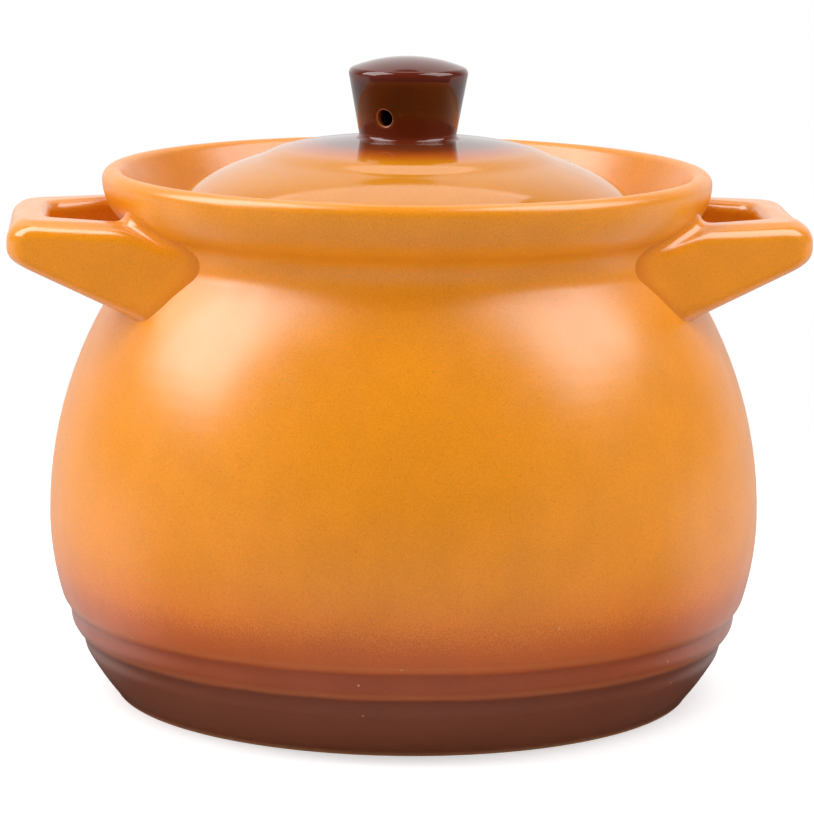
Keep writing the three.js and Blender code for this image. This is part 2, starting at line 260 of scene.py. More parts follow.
def pot_radius_at(height):
    """The radius of the pot's outside at a height on the shoulder, neck or rim."""
    if height < SHOULDER.centre.y + SHOULDER.radius * math.sin(SHOULDER_END):
        return SHOULDER.centre.x + SHOULDER.reach(height)
    if height < RIM.centre.y + RIM.radius * math.sin(RIM_START):
        return NECK.centre.x - NECK.reach(height)
    return RIM.centre.x + RIM.reach(height)


def lower_wall():
    steps = math.ceil(BELLY_RISE / WALL_STEP)
    heights = [FOOT_EDGE + BELLY_RISE * i / steps for i in range(steps)]
    return [Vector((LOWER.centre.x + LOWER.reach(h) - groove_at(h), h)) for h in heights]


def upper_wall():
    shoulder = arc(SHOULDER.centre, SHOULDER.radius, 0, SHOULDER_END)
    neck = arc(NECK.centre, NECK.radius, SHOULDER_END + math.pi, RIM_START + math.pi)
    rim = arc(RIM.centre, RIM.radius, RIM_START, 0)
    return shoulder + neck[1:] + rim[1:]


def under_the_ledge(radius):
    """The angle on the inside of the shoulder where the slope under the lid's ledge runs into it."""
    across = THROAT_RADIUS - SHOULDER.centre.x
    up = SEAT_HEIGHT - SEAT_EDGE - SHOULDER.centre.y
    middle = (across - up) / 2
    along = math.sqrt(middle ** 2 - (across ** 2 + up ** 2 - radius ** 2) / 2) - middle
    return math.atan2(up - along, across + along)


def pot_inside():
    """From the lip over the recess and the ledge, and down to the middle of the floor."""
    lip = Vector((RIM_RADIUS - LIP_RADIUS, RIM_HEIGHT))
    from_recess = lip - Vector((RECESS_RADIUS, SEAT_HEIGHT))
    flare = math.acos(LIP_RADIUS / from_recess.length) - angle_of(from_recess)
    lip_arc = arc(lip, LIP_RADIUS, 0, math.pi - flare)[1:]
    shoulder_radius = SHOULDER.radius - WALL
    lower_radius = LOWER.radius - WALL
    shoulder = arc(SHOULDER.centre, shoulder_radius, under_the_ledge(shoulder_radius), 0)
    ledge = rounded_path(
        [
            lip_arc[-1],
            Vector((RECESS_RADIUS, SEAT_HEIGHT)),
            Vector((THROAT_RADIUS, SEAT_HEIGHT)),
            Vector((THROAT_RADIUS, SEAT_HEIGHT - SEAT_EDGE)),
            shoulder[0],
        ],
        LEDGE_ROUND,
    )
    floor_height = FOOT_RECESS + FLOOR
    rise = floor_height + FLOOR_FILLET - LOWER.centre.y
    reach = math.sqrt((lower_radius - FLOOR_FILLET) ** 2 - rise ** 2)
    fillet = Vector((LOWER.centre.x + reach, floor_height + FLOOR_FILLET))
    floor_end = math.atan2(rise, reach)
    lower = arc(LOWER.centre, lower_radius, 0, floor_end)
    floor_edge = arc(fillet, FLOOR_FILLET, floor_end, -math.pi / 2)
    middle = Vector((0, floor_height))
    return lip_arc + ledge[1:] + shoulder[1:] + lower[1:] + floor_edge[1:] + [middle]


def pot_profile():
    ring_inside = FOOT_RADIUS - FOOT_RING
    wall = lower_wall()
    underside = rounded_path(
        [
            Vector((0, FOOT_RECESS)),
            Vector((ring_inside - FOOT_RECESS, FOOT_RECESS)),
            Vector((ring_inside, 0)),
            Vector((FOOT_RADIUS - FOOT_BEVEL, 0)),
            wall[0],
        ],
        FOOT_BEVEL / 2,
    )
    return refined(underside + wall[1:] + upper_wall() + pot_inside())


def band(row, above):
    """The faces between two closed rows of vertices. Corners that fall together are one."""
    corners = zip(row, row[1:] + row[:1], above[1:] + above[:1], above)
    return [list(dict.fromkeys(four)) for four in corners]


def lathe(profile, segments, start=0.0, skipped=()):
    """Vertices and faces of a profile turned about Z, and its rows. Skipped cells stay open."""
    turns = [start + 2 * math.pi * k / segments for k in range(segments)]
    vertices = []
    rows = []
    for point in profile:
        if point.x < ON_AXIS:
            rows.append([len(vertices)] * segments)
            vertices.append(Vector((0, 0, point.y)))
        else:
            rows.append(list(range(len(vertices), len(vertices) + segments)))
            vertices += [polar(point.x, turn).to_3d() + Vector((0, 0, point.y)) for turn in turns]
    faces = []
    for i, (row, above) in enumerate(zip(rows, rows[1:])):
        faces += [face for k, face in enumerate(band(row, above)) if (i, k) not in skipped]
    return vertices, faces, rows


def smooth_mesh(name, vertices, faces, **shares):
    """A smooth closed mesh, with a share from 0 to 1 at each vertex for every named attribute."""
    mesh = bpy.data.meshes.new(name)
    mesh.from_pydata(vertices, [], faces)
    cleaner = bmesh.new()
    cleaner.from_mesh(mesh)
    bmesh.ops.recalc_face_normals(cleaner, faces=cleaner.faces)
    cleaner.to_mesh(mesh)
    cleaner.free()
    for share, measure in shares.items():
        attribute = mesh.attributes.new(share, "FLOAT", "POINT")
        attribute.data.foreach_set("value", [measure(v.co) for v in mesh.vertices])
    mesh.shade_smooth()
    return mesh


def fade(value, full, none):
    """1 where a value has reached full, 0 where it has reached none, and smooth between."""
    share = max(0, min(1, (value - none) / (full - none)))
    return share * share * (3 - 2 * share)


def radius_of(place):
    return math.hypot(place.x, place.y)


def pot_bare(place):
    """Unglazed clay: the foot, and the ledge that the lid lies on."""
    under = radius_of(place) < FOOT_RADIUS - FOOT_RING and place.z < FOOT_RECESS + FLOOR / 2
    foot = 1 if under else fade(place.z, FOOT_EDGE / 2, FOOT_EDGE)
    ledge = fade(abs(place.z - SEAT_HEIGHT), LEDGE_ROUND / 4, LEDGE_ROUND)
    on_ledge = fade(radius_of(place), RECESS_RADIUS - LEDGE_ROUND, RECESS_RADIUS)
    return max(foot, ledge * on_ledge)


# A pale line along the lip's crest and the grooves' upper edges: partly glaze drawn thin, partly painted
# highlight.
LIP_CREST = Vector((RIM_RADIUS - LIP_RADIUS * 1.5, RIM_TOP - LIP_RADIUS * 0.15))
LIP_HIGHLIGHT_SHARE = 0.05  # how strong the pale line is on the lip, against 1 on the grooves
LIP_HIGHLIGHT_REACH = LIP_RADIUS * 0.6


def pot_thin_and_highlight(place):
    """A pale line along the upper edges of the grooves, and a little on the crest of the lip: partly glaze
    drawn thin, partly painted highlight.
    """
    from_crest = (Vector((radius_of(place), place.z)) - LIP_CREST).length
    from_edge = min(abs(place.z - middle - GROOVE_WIDTH / 3) for middle in GROOVE_HEIGHTS)
    return max(LIP_HIGHLIGHT_SHARE * fade(from_crest, 0, LIP_HIGHLIGHT_REACH), fade(from_edge, 0, GROOVE_WIDTH / 6))


def pot_within(place):
    """1 on the inside of the pot, which isn't sprayed brown."""
    if place.z < FOOT_RECESS + FLOOR / 2:
        return 0
    low = place.z < BELLY_HEIGHT
    outside = LOWER.centre.x + LOWER.reach(place.z) if low else pot_radius_at(place.z)
    return 1 if radius_of(place) < outside - WALL / 2 else 0


def pot_mesh():
    vertices, faces, _ = lathe(pot_profile(), POT_SEGMENTS)
    return smooth_mesh("pot_shell", vertices, faces, bare=pot_bare, thin=pot_thin_and_highlight, within=pot_within)


def dome_arc(radius, height, base, inner):
    """An ellipse about the axis, from an inner radius down to its edge."""
    top = math.acos(inner / radius)
    steps = math.ceil(top / DOME_STEP)
    turns = [top * (1 - i / steps) for i in range(steps + 1)]
    return [Vector((radius * math.cos(t), base + height * math.sin(t))) for t in turns]


def dome_height(radius, at, rise):
    """The height of an ellipse whose curve passes a rise above its base at a given radius."""
    return rise / math.sqrt(1 - (at / radius) ** 2)


def ring_lift(radius):
    """How far the top of the lid stands above a plain dome: it steps down over a soft turned ring."""
    rising = fade(radius, RING_START, RING_LIFT_START)
    stepped = fade(radius, RING_END, RING_START)
    settled = fade(radius, LID_RADIUS, RING_END)
    return RING_LIFT * (rising - 2 * stepped + settled)


def lid_profile():
    rise = LID_TOP - SEAT_HEIGHT
    inner_radius = LID_RADIUS - LID_WALL
    inner_height = dome_height(inner_radius, STEAM_HOLE_RADIUS, rise - LID_WALL)
    outer_height = dome_height(LID_RADIUS, LID_LAND, rise - LID_EDGE)
    inner = dome_arc(inner_radius, inner_height, SEAT_HEIGHT, STEAM_HOLE_RADIUS)
    dome = dome_arc(LID_RADIUS, outer_height, SEAT_HEIGHT + LID_EDGE, LID_LAND)[::-1]
    outer = [point + Vector((0, ring_lift(point.x))) for point in dome]
    edge = rounded_path(
        [
            inner[-1],
            Vector((inner_radius + LEDGE_ROUND, SEAT_HEIGHT)),
            Vector((LID_RADIUS, SEAT_HEIGHT)),
            outer[0],
        ],
        LEDGE_ROUND,
    )
    land = Vector((STEAM_HOLE_RADIUS, LID_TOP))
    return refined([land] + inner[:-1] + edge + outer[1:] + [land])


def lid_bare(place):
    """Unglazed clay where the lid lies on its ledge."""
    return fade(place.z, SEAT_HEIGHT + LEDGE_ROUND / 2, SEAT_HEIGHT + 2 * LEDGE_ROUND)


def lid_within(place):
    """1 on the underside of the lid, which isn't sprayed brown."""
    radius = radius_of(place)
    base = SEAT_HEIGHT + LID_EDGE
    height = dome_height(LID_RADIUS, LID_LAND, LID_TOP - base)
    outside = base + height * math.sqrt(max(0, 1 - (radius / LID_RADIUS) ** 2))
    return 1 if place.z < min(LID_TOP, outside) - LID_WALL / 2 else 0


def lid_mesh():
    vertices, faces, rows = lathe(lid_profile(), POT_SEGMENTS)
    first = dict(zip(rows[-1], rows[0]))
    closed = [[first.get(corner, corner) for corner in face] for face in faces]
    kept = vertices[: rows[-1][0]]
    return smooth_mesh("lid_shell", kept, closed, bare=lid_bare, within=lid_within)


CAVITY_RADIUS = KNOB_BASE_RADIUS - KNOB_WALL
CAVITY_ROOF = KNOB_TOP - KNOB_ROOF
CAVITY_CORNER = 0.004
VENT_LEVEL = LID_TOP + VENT_HEIGHT
VENT_DIRECTION = Vector((-math.sin(VENT_TURN), -math.cos(VENT_TURN), 0))
VENT_ACROSS = Vector((math.cos(VENT_TURN), -math.sin(VENT_TURN), 0))
WINDOW_OUTSIDE = 0.005  # half the height of the vent's window in the outer wall and in the hollow
WINDOW_INSIDE = 0.004


def knob_cone_at(height):
    """The radius of the knob's side at a height."""
    low = LID_TOP + KNOB_FOOT
    high = KNOB_TOP - KNOB_SHOULDER
    return KNOB_BASE_RADIUS + (KNOB_TOP_RADIUS - KNOB_BASE_RADIUS) * (height - low) / (high - low)


def window_heights(half):
    return [VENT_LEVEL + half * i / VENT_WINDOW for i in range(-VENT_WINDOW, VENT_WINDOW + 1)]


def knob_profile():
    """The knob's section, and the rows where the vent's window starts in the hollow and in the side."""
    roof = rounded_path(
        [
            Vector((0, CAVITY_ROOF)),
            Vector((CAVITY_RADIUS, CAVITY_ROOF)),
            Vector((CAVITY_RADIUS, VENT_LEVEL)),
        ],
        CAVITY_CORNER,
    )
    hollow = [Vector((CAVITY_RADIUS, height)) for height in reversed(window_heights(WINDOW_INSIDE))]
    bottom = Vector((CAVITY_RADIUS, LID_TOP))
    foot = arc(Vector((LID_LAND, LID_TOP + KNOB_FOOT)), KNOB_FOOT, 1.5 * math.pi, math.pi)
    side = [Vector((knob_cone_at(height), height)) for height in window_heights(WINDOW_OUTSIDE)]
    edge_centre = Vector((KNOB_TOP_RADIUS - KNOB_EDGE, KNOB_TOP - KNOB_SHOULDER))
    edge = arc(edge_centre, KNOB_EDGE, 0, math.asin((KNOB_SHOULDER - KNOB_CROWN) / KNOB_EDGE))
    reach = edge[-1].x
    shares = [1 - i / CROWN_STEPS for i in range(1, CROWN_STEPS + 1)]
    crown = [Vector((reach * s, KNOB_TOP - KNOB_CROWN * s ** CROWN_POWER)) for s in shares]
    before_hollow = refined(roof[:-1] + hollow[:1])
    before_side = refined(hollow[-1:] + [bottom] + foot + side[:1])
    profile = before_hollow + hollow[1:] + before_side[1:] + side[1:]
    hollow_row = len(before_hollow) - 1
    side_row = hollow_row + len(hollow) + len(before_side) - 2
    return profile + refined(side[-1:] + edge + crown)[1:], hollow_row, side_row


def window_border(levels):
    """Each vertex round a window of the lathe, with its place across and up the window, from -1 to 1."""
    size = VENT_WINDOW
    border = [(k, -size) for k in range(-size, size)]
    border += [(size, i) for i in range(-size, size)]
    border += [(k, size) for k in range(size, -size, -1)]
    border += [(-size, i) for i in range(size, -size, -1)]
    return [(levels[i + size][k], Vector((k, i)) / size) for k, i in border]


def knob_mesh():
    """The hollow knob, with its round vent bored level through the side."""
    profile, hollow_row, side_row = knob_profile()
    columns = [k % KNOB_SEGMENTS for k in range(-VENT_WINDOW, VENT_WINDOW)]
    window = range(2 * VENT_WINDOW)
    skipped = {(start + i, k) for start in (hollow_row, side_row) for i in window for k in columns}
    vertices, faces, rows = lathe(profile, KNOB_SEGMENTS, angle_of(VENT_DIRECTION), skipped)
    outside = window_border(rows[side_row:side_row + 2 * VENT_WINDOW + 1])
    inside = window_border(rows[hollow_row:hollow_row + 2 * VENT_WINDOW + 1][::-1])

    def on_wall(across, up, radius):
        """A point of a round wall, given by its offsets from the vent's axis."""
        depth = math.sqrt(radius(VENT_LEVEL + up) ** 2 - across ** 2)
        return VENT_DIRECTION * depth + VENT_ACROSS * across + Vector((0, 0, VENT_LEVEL + up))

    def patch(border, radius, hole):
        """Rings on a wall that lead from a window's border to a round hole, the border left out."""
        rings = []
        for ring in range(1, VENT_RINGS + 1):
            points = []
            for vertex, spot in border:
                corner = vertices[vertex]
                offset = Vector((corner.dot(VENT_ACROSS), corner.z - VENT_LEVEL))
                place = offset.lerp(spot.normalized() * hole, ring / VENT_RINGS)
                points.append(on_wall(place.x, place.y, radius))
            rings.append(points)
        return rings

    def cavity(_):
        return CAVITY_RADIUS

    outer_rings = patch(outside, knob_cone_at, VENT_RADIUS + VENT_LIP)
    inner_rings = patch(inside, cavity, VENT_RADIUS)[::-1]
    lip_rings = []
    for step in range(1, EDGE_STEPS + 1):
        turn = math.pi / 2 * step / EDGE_STEPS
        drawn_in = VENT_LIP * math.sin(turn)
        sunk = VENT_LIP * (1 - math.cos(turn))
        ring = []
        for (_, spot), start in zip(outside, outer_rings[-1]):
            inward = VENT_ACROSS * spot.x + Vector((0, 0, spot.y))
            ring.append(start - inward.normalized() * drawn_in - VENT_DIRECTION * sunk)
        lip_rings.append(ring)
    loops = [[vertex for vertex, _ in outside]]
    for ring in outer_rings + lip_rings + inner_rings:
        loops.append(list(range(len(vertices), len(vertices) + len(ring))))
        vertices += ring
    loops.append([vertex for vertex, _ in inside])
    for loop, inner in zip(loops, loops[1:]):
        faces += band(loop, inner)

    def vent_thin(place):
        """The glaze draws thin round the vent's lip."""
        away = Vector((place.dot(VENT_ACROSS), place.z - VENT_LEVEL)).length - VENT_RADIUS
        in_front = place.dot(VENT_DIRECTION) > (CAVITY_RADIUS + KNOB_BASE_RADIUS) / 2
        return fade(abs(away), 0, VENT_LIP) if in_front else 0

    return smooth_mesh("knob_shell", vertices, faces, thin=vent_thin)


def half_outline(end, end_width, root_width, corner):
    """The root of a leg seen from above, and the points from its bend to the middle of the bar."""
    neck = Vector((math.sqrt(NECK_RADIUS ** 2 - (root_width / 2) ** 2), root_width / 2))
    tip = Vector((end, end_width / 2))
    middle = Vector((end, 0))
    root = neck + (neck - tip).normalized() * ROOT_DEPTH
    bend = rounded_corner(root, tip, middle, corner, EAR_CORNER_STEPS)
    bar = [bend[-1].lerp(middle, i / BAR_STEPS) for i in range(1, BAR_STEPS + 1)]
    return root, bend + bar


HOLE_ROOT, HOLE_LINE = half_outline(HOLE_END, HOLE_END_WIDTH, HOLE_ROOT_WIDTH, HOLE_CORNER)
OUTER_ROOT, OUTER_LINE = half_outline(HANDLE_REACH, HANDLE_END_WIDTH, HANDLE_ROOT_WIDTH, HANDLE_CORNER)


def underside_at(place):
    return HANDLE_TOP - HANDLE_BAR_DEPTH + (place.x - HOLE_END) * UNDERSIDE_SLOPE


def flat_section(width, hole_under, outer_under, rooted, worn):
    """A handle's section in its own plane: rounded corners, with points along the flats between.

    The top falls away to the outer side, more so where the section is rooted in the pot, and the outer
    edge is worn rounder at the end of the handle.
    """
    hole_top = Vector((0, HANDLE_TOP))
    hole_foot = Vector((0, hole_under))
    outer_foot = Vector((width, outer_under))
    brow = Vector((width, HANDLE_TOP - TOP_FALL - ROOT_FALL * rooted - END_FALL * worn))
    fall_start = Vector((width - TOP_RUN - ROOT_RUN * rooted, HANDLE_TOP))
    brow_steps = EDGE_STEPS // 2
    bends = [
        rounded_corner(fall_start, hole_top, hole_foot, HOLE_EDGE),
        rounded_corner(hole_top, hole_foot, outer_foot, HOLE_EDGE),
        rounded_corner(hole_foot, outer_foot, brow, UNDER_EDGE + ROOT_UNDER_EDGE * rooted),
        rounded_corner(outer_foot, brow, fall_start, TOP_EDGE + END_EDGE * worn, brow_steps)
        + rounded_corner(brow, fall_start, hole_top, TOP_BREAK, EDGE_STEPS - brow_steps - 1),
    ]
    points = []
    for i, bend in enumerate(bends):
        after = bends[(i + 1) % len(bends)]
        points += bend + [bend[-1].lerp(after[0], share) for share in SIDE_POINTS]
    return points


def ear_section(hole, outer):
    """A section between two points of the outlines, swollen near the pot, with each point's gap to it."""
    span = outer - hole
    width = span.length
    rooted = fade(outer.length - NECK_RADIUS, 0, ROOT_BLEND)
    worn = fade(outer.x, HANDLE_REACH, HANDLE_REACH - END_BLEND)
    flat = flat_section(width, underside_at(hole), underside_at(outer), rooted, worn)
    section = []
    for n, point in enumerate(flat):
        across = hole + span * point.x / width
        gap = across.length - pot_radius_at(point.y)
        inside = max(0, min(ROOT_FILLET, ROOT_FILLET - ROOT_CREASE - gap))
        swell = ROOT_SWELL * (inside / ROOT_FILLET) ** 3
        along = flat[(n + 1) % len(flat)] - flat[n - 1]
        outwards = Vector((along.y, -along.x)).normalized()
        held_in = max(ROOT_UNDER * -outwards.y, ROOT_FRONT * outwards.x, 0)
        swollen = point + outwards * swell * (1 - held_in)
        place = hole + span * swollen.x / width
        if inside > 0:
            place *= (pot_radius_at(swollen.y) + gap) / place.length
        section.append((Vector((place.x, place.y, swollen.y)), gap))
    return section


def leg_section(share):
    """The section at a share of the way along a leg."""
    return ear_section(HOLE_ROOT.lerp(HOLE_LINE[0], share), OUTER_ROOT.lerp(OUTER_LINE[0], share))


def leg_start(line):
    """The share of the leg at which one line of its skin dips under the pot's surface."""
    low, high = 0.0, 1.0
    for _ in range(BISECTIONS):
        share = (low + high) / 2
        if leg_section(share)[line][1] < -ROOT_SINK:
            low = share
        else:
            high = share
    return high


def ear_rows():
    """The skin of half a handle, from the root of a leg to the middle of the bar."""
    lines = range(len(leg_section(0)))
    starts = [leg_start(line) for line in lines]
    rows = []
    for i in range(LEG_STEPS):
        along = (i / LEG_STEPS) ** 2
        rows.append([leg_section(starts[n] + (1 - starts[n]) * along)[n][0] for n in lines])
    for hole, outer in zip(HOLE_LINE, OUTER_LINE):
        rows.append([point for point, _ in ear_section(hole, outer)])
    return rows


def ear_cap(first, count):
    """Faces that close the root of a leg with level strips, which stay in the pot's curved wall."""
    top = count - len(SIDE_POINTS) // 2 - 1
    faces = []
    for k in range(count // 2):
        strip = (top - k, top + k, top + k + 1, top - k - 1)
        faces.append(list(dict.fromkeys(first + n % count for n in strip)))
    return faces


def ear_pooled(place):
    """The glaze runs thick into the joint with the pot, and painted shade darkens the crease there."""
    return fade(radius_of(place) - pot_radius_at(place.z), 0, ROOT_POOL_SHADE)


def everywhere(_):
    """The share that marks all of a piece."""
    return 1


def ear_mesh():
    """One handle, reaching towards +X."""
    half = ear_rows()
    other = [[Vector((p.x, -p.y, p.z)) for p in row] for row in reversed(half[:-1])]
    rows = half + other
    count = len(rows[0])
    vertices = [point for row in rows for point in row]
    numbers = [list(range(start, start + count)) for start in range(0, len(vertices), count)]
    faces = []
    for row, above in zip(numbers, numbers[1:]):
        faces += band(row, above)
    faces += ear_cap(0, count) + ear_cap(len(vertices) - count, count)
    return smooth_mesh("ear", vertices, faces, pooled=ear_pooled, handle=everywhere)


def srgb(red, green, blue):
    """A colour of 0 to 255 as the linear colour that a shader takes."""
    shares = [channel / 255 for channel in (red, green, blue)]
    linear = [s / 12.92 if s <= 0.04045 else ((s + 0.055) / 1.055) ** 2.4 for s in shares]
    return (*linear, 1.0)


def grey(level):
    return (level, level, level, 1.0)


# Detail of the noise textures, from smooth to broken, and how far from 0 and 1 their values mostly keep.
SMOOTH = 1.0
PLAIN = 2.0
ROUGH = 4.0
BROKEN = 6.0
CALM = 0.3
DRIFT_CALM = 0.25


class Nodes:
    """Adds and links the nodes of one tree. A value is a number, a colour or another node's socket."""

    def __init__(self, tree):
        self.tree = tree

    def add(self, kind, inputs=None, **settings):
        node = self.tree.nodes.new(kind)
        for name, value in settings.items():
            setattr(node, name, value)
        for name, value in (inputs or {}).items():
            self.set(node.inputs[name], value)
        return node

    def set(self, socket, value):
        if isinstance(value, bpy.types.NodeSocket):
            self.tree.links.new(value, socket)
        else:
            socket.default_value = value

    def math(self, operation, a, b=0.0):
        return self.add("ShaderNodeMath", {0: a, 1: b}, operation=operation).outputs[0]

    def stretch(self, value, low, high, to_low=0.0, to_high=1.0):
        """A value taken from one range to another, smoothly and within its ends."""
        inputs = {"Value": value, "From Min": low, "From Max": high, "To Min": to_low, "To Max": to_high}
        return self.add("ShaderNodeMapRange", inputs, interpolation_type="SMOOTHSTEP").outputs[0]

    def mix(self, share, first, second, blend="MIX"):
        """A colour between two colours. The sockets are those of the node's colour mode."""
        node = self.add("ShaderNodeMix", {0: share, 6: first, 7: second}, data_type="RGBA")
        node.blend_type = blend
        return node.outputs[2]

    def noise(self, place, scale, detail=PLAIN):
        return self.add("ShaderNodeTexNoise", {"Vector": place, "Scale": scale, "Detail": detail}).outputs[0]

    def uneven(self, place, scale, low, high, detail=PLAIN, calm=CALM):
        """A value that wanders between two ends from place to place."""
        return self.stretch(self.noise(place, scale, detail), calm, 1.0 - calm, low, high)

    def spots(self, place, scale, size, share):
        """Round spots in a share of the cells of a random pattern."""
        cells = self.add("ShaderNodeTexVoronoi", {"Vector": place, "Scale": scale})
        round_spot = self.stretch(cells.outputs["Distance"], size, size / 2)
        picked = self.math("LESS_THAN", cells.outputs["Color"], share)
        return self.math("MULTIPLY", round_spot, picked)

    def parts(self, place):
        return self.add("ShaderNodeSeparateXYZ", {0: place}).outputs

    def blend(self, share, first, second):
        """A surface between two surfaces."""
        return self.add("ShaderNodeMixShader", {0: share, 1: first, 2: second}).outputs[0]

    def radius(self, place):
        """The distance from the Z axis."""
        level = self.add("ShaderNodeVectorMath", {0: place, 1: (1.0, 1.0, 0.0)}, operation="MULTIPLY")
        return self.add("ShaderNodeVectorMath", {0: level.outputs[0]}, operation="LENGTH").outputs["Value"]

    def attribute(self, name):
        return self.add("ShaderNodeAttribute", attribute_name=name).outputs["Fac"]

    def ramp(self, share, stops):
        node = self.add("ShaderNodeValToRGB", {"Fac": share})
        elements = node.color_ramp.elements
        elements.remove(elements[-1])
        for i, (position, colour) in enumerate(stops):
            element = elements[0] if i == 0 else elements.new(position)
            element.position = position
            element.color = colour
        return node.outputs["Color"]

    def bump(self, height, distance, normal=None):
        inputs = {"Height": height, "Distance": distance}
        if normal is not None:
            inputs["Normal"] = normal
        return self.add("ShaderNodeBump", inputs).outputs["Normal"]


AMBER = (0.765, 0.25, 0.005)
# pale of thin glaze, also used as a painted highlight along the grooves and the lip
PALE_GLAZE_AND_HIGHLIGHT = srgb(248, 190, 120)
# dark of glaze pooled in the handles' joints, also painted shade in the crease
POOLED_GLAZE_AND_SHADE = (0.56, 0.135, 0.004, 1.0)
CLAY = srgb(186, 128, 84)
DARK_CLAY = srgb(150, 96, 58)
KNOB_BROWN = srgb(52, 10, 2)
KNOB_LIGHT_BROWN = srgb(62, 14, 2)
# lighter browns for the knob's foot and crown: painted reflection of the lid and of the pale room above
KNOB_FOOT_REFLECTION_BROWN = srgb(98, 34, 12)
KNOB_CROWN_REFLECTION_BROWN = srgb(88, 32, 16)
KNOB_THIN_GLAZE = srgb(190, 110, 60)
GLAZE_IOR = 1.8
KNOB_IOR = 1.55

BROWN_TOP = 0.075  # height at which the brown of the foot has faded out
# The pot's colour at heights above its foot: brown at the foot, amber above, and stepped darker at the
# grooves, partly by the spray and partly as painted shade where the groove walls face down.
BROWN_AND_GROOVE_SHADE_STOPS = [
    (0.000, (0.215, 0.058, 0.024)),
    (0.0189, (0.180, 0.043, 0.019)),
    (0.0197, (0.330, 0.064, 0.018)),
    (0.0273, (0.310, 0.056, 0.015)),
    (0.0282, (0.450, 0.084, 0.013)),
    (0.0350, (0.540, 0.108, 0.012)),
    (0.0430, (0.710, 0.186, 0.011)),
    (0.0540, (0.755, 0.234, 0.008)),
    (BROWN_TOP, AMBER),
]
SPRAY_REACH = 0.041  # how far from the axis the brown round the knob has faded out
# The lid's colour at distances from its axis: sprayed brown round the knob, amber beyond.
SPRAY_STOPS = [
    (0.0200, (0.115, 0.026, 0.008)),
    (0.0260, (0.180, 0.034, 0.007)),
    (0.0290, (0.300, 0.053, 0.007)),
    (0.0320, (0.400, 0.082, 0.007)),
    (0.0350, (0.480, 0.120, 0.007)),
    (0.0375, (0.540, 0.172, 0.006)),
    (SPRAY_REACH, (0.580, 0.203, 0.006)),
]
BROWN_DRIFT = 0.0003  # how far the steps of the brown wander
SPRAY_DRIFT = 0.0008
DROPLET_THROW = 0.003  # how far single droplets of the spray stray
DROPLETS_REACH = (0.0285, 0.036)  # heights between which the spray breaks into droplets
# Heights between which the knob's lighter foot and crown fade in: painted reflection, of the lid at the foot
# and of the pale room above at the crown.
KNOB_FOOT_REFLECTION_REACH = (LID_TOP + 0.01, LID_TOP + 0.001)
KNOB_CROWN_REFLECTION_REACH = (KNOB_TOP - 0.009, KNOB_TOP - 0.004)

# Round specks: cells to the metre, radius in cells, the share of cells that have one, and its strength.
Specks = namedtuple("Specks", "scale size share strength colour")
DARK_SPECKS = Specks(700.0, 0.25, 0.3, 0.25, srgb(150, 72, 22))
PALE_SPECKS = Specks(240.0, 0.1, 0.25, 0.7, srgb(214, 160, 120))
LID_SPECKS = Specks(700.0, 0.22, 0.15, 0.2, srgb(160, 78, 22))
PALE_SPECKS_REACH = (0.065, 0.04)  # heights between which the pale specks fade in

# How strongly the colour of the glaze changes, as a share.
MOTTLE = 0.035
LID_MOTTLE = 0.03
# the pale line of thin glaze and painted highlight
THIN_AND_HIGHLIGHT_STRENGTH = 0.07
# the dark of pooled glaze and painted crease shade
POOL_AND_SHADE_STRENGTH = 0.5
KNOB_THIN_STRENGTH = 0.8

# Scales of the noise that varies the glazes, in cells to the metre, and the depth of its bumps.
WAVE_SCALE = 45.0
WAVE_DEPTH = 6e-5
PEEL_SCALE = 900.0
PEEL_DEPTH = 6e-6
DRIFT_SCALE = 55.0
PATCH_SCALE = 70.0
KNOB_PATCH_SCALE = 110.0
WEAR_SCALE = 120.0
CLAY_SCALE = 800.0
GRAIN_SCALE = 2200.0
DROPLET_SCALE = 2400.0

# Roughness, and the heights between which it changes.
BODY_ROUGHNESS = 0.305
NECK_ROUGHNESS = 0.38
NECK_SATIN = (0.118, 0.136)
LIP_ROUGHNESS = (0.4, 0.3)
LIP_GLOSS = (0.146, 0.155)
HANDLE_ROUGHNESS = 0.2
BODY_WEAR = 0.02
LID_ROUGHNESS = (0.08, 0.12)
KNOB_ROUGHNESS = (0.06, 0.1)
CLAY_ROUGHNESS = 0.85


def glaze(name, ior=GLAZE_IOR):
    """A new glaze, uneven as thrown clay is: its material, nodes, shader and the place in metres."""
    material = bpy.data.materials.new(name)
    material.use_nodes = True
    nodes = Nodes(material.node_tree)
    shader = material.node_tree.nodes["Principled BSDF"]
    shader.inputs["IOR"].default_value = ior
    place = nodes.add("ShaderNodeTexCoord").outputs["Object"]
    waves = nodes.bump(nodes.noise(place, WAVE_SCALE), WAVE_DEPTH)
    orange_peel = nodes.bump(nodes.noise(place, PEEL_SCALE), PEEL_DEPTH, waves)
    nodes.set(shader.inputs["Normal"], orange_peel)
    return material, nodes, shader, place


def graded(nodes, share, stops, reach):
    """The colour at a share of a reach, from stops that are given as lengths."""
    return nodes.ramp(share, [(at / reach, (*colour, 1.0)) for at, colour in stops])


def mottled(nodes, place, colour, depth):
    """A glaze colour that runs a little thicker and thinner, with a grain that is twice as strong."""
    shade = nodes.uneven(place, PATCH_SCALE, 1.0 - depth, 1.0 + depth, BROKEN)
    grain = nodes.uneven(place, GRAIN_SCALE, 1.0 - 2 * depth, 1.0 + 2 * depth, SMOOTH)
    both = nodes.math("MULTIPLY", shade, grain)
    tone = nodes.add("ShaderNodeCombineColor", {"Red": both, "Green": both, "Blue": both}).outputs[0]
    return nodes.mix(1.0, colour, tone, "MULTIPLY")


def tinted(nodes, colour, share, strength, tint):
    """A colour drawn towards a tint where a share says so, up to a strength."""
    return nodes.mix(nodes.math("MULTIPLY", share, strength), colour, tint)


